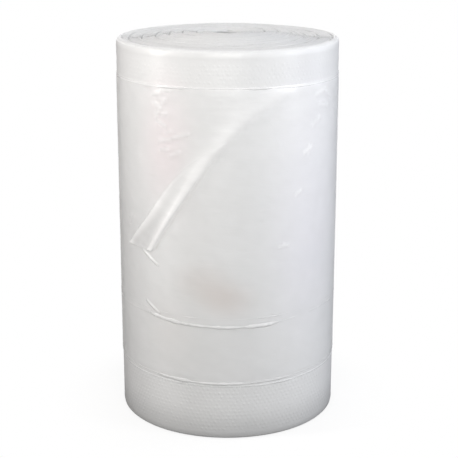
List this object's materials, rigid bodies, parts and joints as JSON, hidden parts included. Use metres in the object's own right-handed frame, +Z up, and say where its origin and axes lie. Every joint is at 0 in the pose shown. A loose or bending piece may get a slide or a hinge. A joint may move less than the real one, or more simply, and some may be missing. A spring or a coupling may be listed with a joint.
{
  "type": "bubble wrap roll",
  "caption": "Wide coreless roll of clear small-bubble wrap stood on end, with a band of clear stretch film wound round it to hold its turns.",
  "frame": {"origin": "on the floor, under the middle of the roll standing on end", "axes": "+Z up along the roll's axis; -Y is the front, where the stretch film's last fold crosses; +X is to the right seen from the front; the bubble film's free end is at the back, +Y"},
  "size_m": [0.5803, 0.5824, 1.012],
  "materials": {
    "bubble_film": "clear polythene bubble film that looks milky white over many turns",
    "stretch_film": "clear glossy stretch film, slightly wrinkled"
  },
  "bodies": {
    "root": {"wound_bubble_film": "bubble_film", "stretch_wrap": "stretch_film"}
  },
  "joints": []
}
